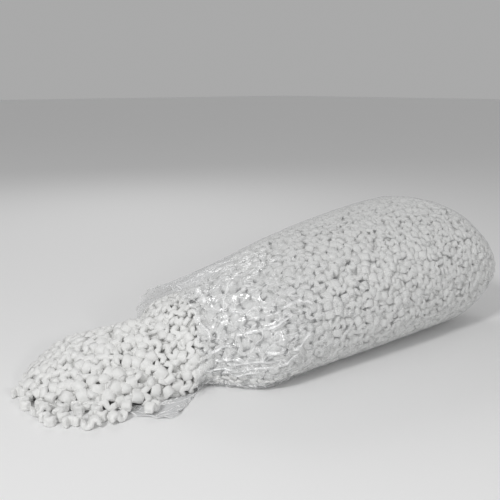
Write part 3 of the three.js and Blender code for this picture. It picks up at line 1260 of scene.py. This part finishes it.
    def build(self) -> list[bpy.types.Object]:
        """Make the peanuts, a stretch of the bag at a time, and the mass behind them.

        Returns:
            All the pieces of the fill.
        """
        middles, axes = self.packing.settle(self.loose_balls())
        order = np.argsort(middles[:, 0])
        middles, axes = middles[order], axes[order]
        points = self.place(middles, axes) + self.form.origin()
        corners = np.concatenate([np.array(face) for face in self.pattern[1]])
        counts = np.array([len(face) for face in self.pattern[1]])
        pieces = []
        for number, batch in enumerate(np.array_split(np.arange(len(points)),
                                                      -(-len(points) // self.piece_limit))):
            shift = np.arange(len(batch))[:, None] * points.shape[1]
            piece = new_piece(f"packed_peanuts_{number + 1}", points[batch].reshape(-1, 3),
                              (corners[None] + shift).reshape(1, -1), self.foam,
                              np.tile(counts, len(batch)))
            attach(piece, "root")
            pieces.append(piece)
            log.info("packed peanuts %d: %d peanuts", number + 1, len(batch))
        pieces.append(self.build_core())
        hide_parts("peanut_fill")
        return pieces

    def build_core(self) -> bpy.types.Object:
        """Make the rough mass of foam seen between the outer peanuts.

        Returns:
            The mass, closed at both ends.
        """
        form, columns = self.form, self.core_columns
        turns = np.arange(columns) * 2 * math.pi / columns
        below = np.sin(turns) < -1e-6
        xs = np.linspace(form.length - self.core_ends[0], form.heap_toe + self.core_ends[1],
                         self.core_rows)
        rows = []
        for x in xs:
            centre, wide, tall, middle, power = (float(v) for v in form.fill_section(np.array(x)))
            at_mouth = math.exp(-(((x - self.core_mouth) / self.core_spread) ** 2))
            inset = self.core_depth - self.core_rise * at_mouth
            row = form.superellipse(x, turns, centre, max(self.core_least[0], wide - inset),
                                    max(self.core_least[1], tall - inset), middle, power,
                                    self.core_floor[0])
            # The underside is a little narrower, so that its rim and the upper one stay apart.
            row[below, 1] = centre + (row[below, 1] - centre) * self.core_underside
            rows.append(row)
        points = np.array(rows)
        hub = points.mean(axis=1, keepdims=True)
        rough = self.core_rough * wave_noise(points, 31, self.core_grain)
        points = points + unit(points - hub) * rough[..., None]
        points[..., 2] = np.maximum(points[..., 2], self.core_floor[1])
        faces, index = tube_faces(len(points), columns)
        corners = np.concatenate([faces.ravel(), index[0], index[-1][::-1]])
        counts = np.concatenate([np.full(len(faces), 4), [columns, columns]])
        core = new_piece("inner_fill", points.reshape(-1, 3) + form.origin(),
                         corners[None], self.deep, counts)
        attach(core, "root")
        log.info("inner fill: %d faces", len(core.data.polygons))
        return core


@dataclass
class LoosePeanuts:
    """The single peanuts that lie round the toe of the heap, one for each of the CAD model's.

    Attributes:
        foam: their finish.
        voxel: cell size of the mesh that rounds them off.
        swell: how far their skin stands out, at its mean and by its lumps.
        lump_size: size of the lumps.
        floor_gap: least height of their undersides.
    """

    foam: bpy.types.Material
    voxel: float = 0.0017
    swell: float = 0.0007
    lump_size: float = 0.009
    floor_gap: float = 0.0003

    def build(self) -> list[bpy.types.Object]:
        """Round off a copy of each CAD peanut and roughen it as moulded foam is.

        Returns:
            The finished peanuts.
        """
        pieces = [self.round_off(name) for name in sorted(loose_nodes())]
        log.info("loose peanuts: %d", len(pieces))
        return pieces

    def round_off(self, name: str) -> bpy.types.Object:
        """Make one soft peanut from a CAD node.

        Args:
            name: the CAD node.

        Returns:
            The new piece, which replaces the node.
        """
        piece = bpy.data.objects.new("foam_" + name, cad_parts[name].data.copy())
        bpy.context.scene.collection.objects.link(piece)
        deselect_all()
        piece.select_set(True)
        bpy.context.view_layer.objects.active = piece
        bpy.ops.object.mode_set(mode="EDIT")
        bpy.ops.mesh.select_all(action="SELECT")
        bpy.ops.mesh.remove_doubles(threshold=0.00002)
        bpy.ops.object.mode_set(mode="OBJECT")
        remesh = piece.modifiers.new("skin", "REMESH")
        remesh.mode = "VOXEL"
        remesh.voxel_size = self.voxel
        soften = piece.modifiers.new("soften", "SMOOTH")
        soften.factor = 0.6
        soften.iterations = 5
        for modifier in ("skin", "soften"):
            bpy.ops.object.modifier_apply(modifier=modifier)
        mesh = piece.data
        points = np.empty(len(mesh.vertices) * 3)
        mesh.vertices.foreach_get("co", points)
        points = points.reshape(-1, 3)
        middle = points.mean(axis=0)
        lumps = wave_noise(points, seed_for(name), self.lump_size)
        points = points + unit(points - middle) * (self.swell + self.swell * lumps)[:, None]
        points[:, 2] = np.maximum(points[:, 2], self.floor_gap)
        mesh.vertices.foreach_set("co", points.ravel())
        mesh.polygons.foreach_set("use_smooth", np.ones(len(mesh.polygons), bool))
        mesh.update()
        mesh.materials.clear()
        mesh.materials.append(self.foam)
        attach(piece, "root")
        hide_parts(name)
        return piece


def seed_for(name: str) -> int:
    """A small seed that belongs to a name."""
    return sum(ord(letter) * (i + 3) for i, letter in enumerate(name))


# ---------------------------------------------------------------- studio

@dataclass(frozen=True)
class Lamp:
    """One round soft light, which faces the bag.

    Attributes:
        name: its name.
        place: where it hangs.
        size: its width.
        power: its strength in watts.
    """

    name: str
    place: tuple[float, float, float]
    size: float
    power: float


@dataclass
class Studio:
    """Plain pale floor, soft lights and the camera.

    Attributes:
        floor_size: width of the floor.
        floor_tone: how pale it is.
        sky: strength of the even light from all round.
        target: what the lamps face.
        camera_place: the camera's place from the bag's own origin.
        azimuth, pitch: its turn and how far it looks down, in degrees.
        lens: its focal length in millimetres, for a sensor 36 wide.
        lamps: the lights.
    """

    floor_size: float = 60.0
    floor_tone: float = 0.88
    sky: float = 0.40
    target: tuple[float, float, float] = (0.0, 0.0, 0.12)
    camera_place: tuple[float, float, float] = (-0.980, -1.197, 0.681)
    azimuth: float = -42.17
    pitch: float = 13.32
    lens: float = 50.4
    lamps: tuple[Lamp, ...] = (
        Lamp("key_light", (-3.1, -1.1, 2.7), size=0.6, power=66.0),
        Lamp("front_fill", (-0.9, -2.9, 1.3), size=0.3, power=14.0),
        Lamp("back_light", (1.0, 2.4, 2.2), size=1.2, power=12.0),
    )

    def build(self, origin: Array) -> None:
        """Make the floor, the lights, the sky and the camera.

        Args:
            origin: the bag's own origin in the part's frame.
        """
        floor = self.build_floor()
        for lamp in self.lamps:
            self.hang(lamp)
        world = bpy.data.worlds.new("studio")
        world.use_nodes = True
        sky = world.node_tree.nodes["Background"]
        sky.inputs["Color"].default_value = (1, 1, 1, 1)
        sky.inputs["Strength"].default_value = self.sky
        bpy.context.scene.world = world
        bpy.context.scene.view_settings.view_transform = "Standard"
        self.set_camera(origin)

    def hang(self, lamp: Lamp) -> None:
        """Hang one light.

        Args:
            lamp: which light.
        """
        light = bpy.data.lights.new(lamp.name, "AREA")
        light.shape = "DISK"
        light.size = lamp.size
        light.energy = lamp.power
        holder = bpy.data.objects.new(lamp.name, light)
        holder.location = lamp.place
        way = Vector(self.target) - Vector(lamp.place)
        holder.rotation_euler = way.to_track_quat("-Z", "Y").to_euler()
        bpy.context.scene.collection.objects.link(holder)

    def set_camera(self, origin: Array) -> None:
        """Place the camera.

        Args:
            origin: the bag's own origin in the part's frame.
        """
        lens = bpy.data.cameras.new("camera")
        lens.lens = self.lens
        lens.sensor_width = 36.0
        camera = bpy.data.objects.new("camera", lens)
        camera.location = Vector(self.camera_place) + Vector(origin)
        camera.rotation_euler = (math.radians(90 - self.pitch), 0, math.radians(self.azimuth))
        bpy.context.scene.collection.objects.link(camera)
        bpy.context.scene.camera = camera

    def build_floor(self) -> bpy.types.Object:
        """Make the pale floor.

        Returns:
            The floor.
        """
        deselect_all()
        bpy.ops.mesh.primitive_plane_add(size=self.floor_size, location=(0, 0, -FLOOR_GAP))
        floor = bpy.context.object
        floor.name = "studio_floor"
        material = bpy.data.materials.new("pale_floor")
        material.use_nodes = True
        shader = material.node_tree.nodes["Principled BSDF"]
        shader.inputs["Base Color"].default_value = (*[self.floor_tone] * 3, 1)
        shader.inputs["Roughness"].default_value = 0.9
        floor.data.materials.append(material)
        return floor


def main() -> None:
    """Build the sack, its fill, the loose peanuts and the studio."""
    logging.basicConfig(level=logging.INFO, format="%(name)s: %(message)s")
    form = BagForm()
    skin = cell_grain_group()
    foam = FoamFinish(FoamTone.PEANUT).build(skin)
    deep = FoamFinish(FoamTone.DEEP, roughness=0.9).build(skin)
    BagFilm(form, FilmFinish().build()).build()
    pattern = PeanutPattern().build()
    PeanutFill(form, Packing(form), foam, deep, pattern).build()
    LoosePeanuts(foam).build()
    Studio().build(form.origin())


if __name__ == "__main__":
    main()
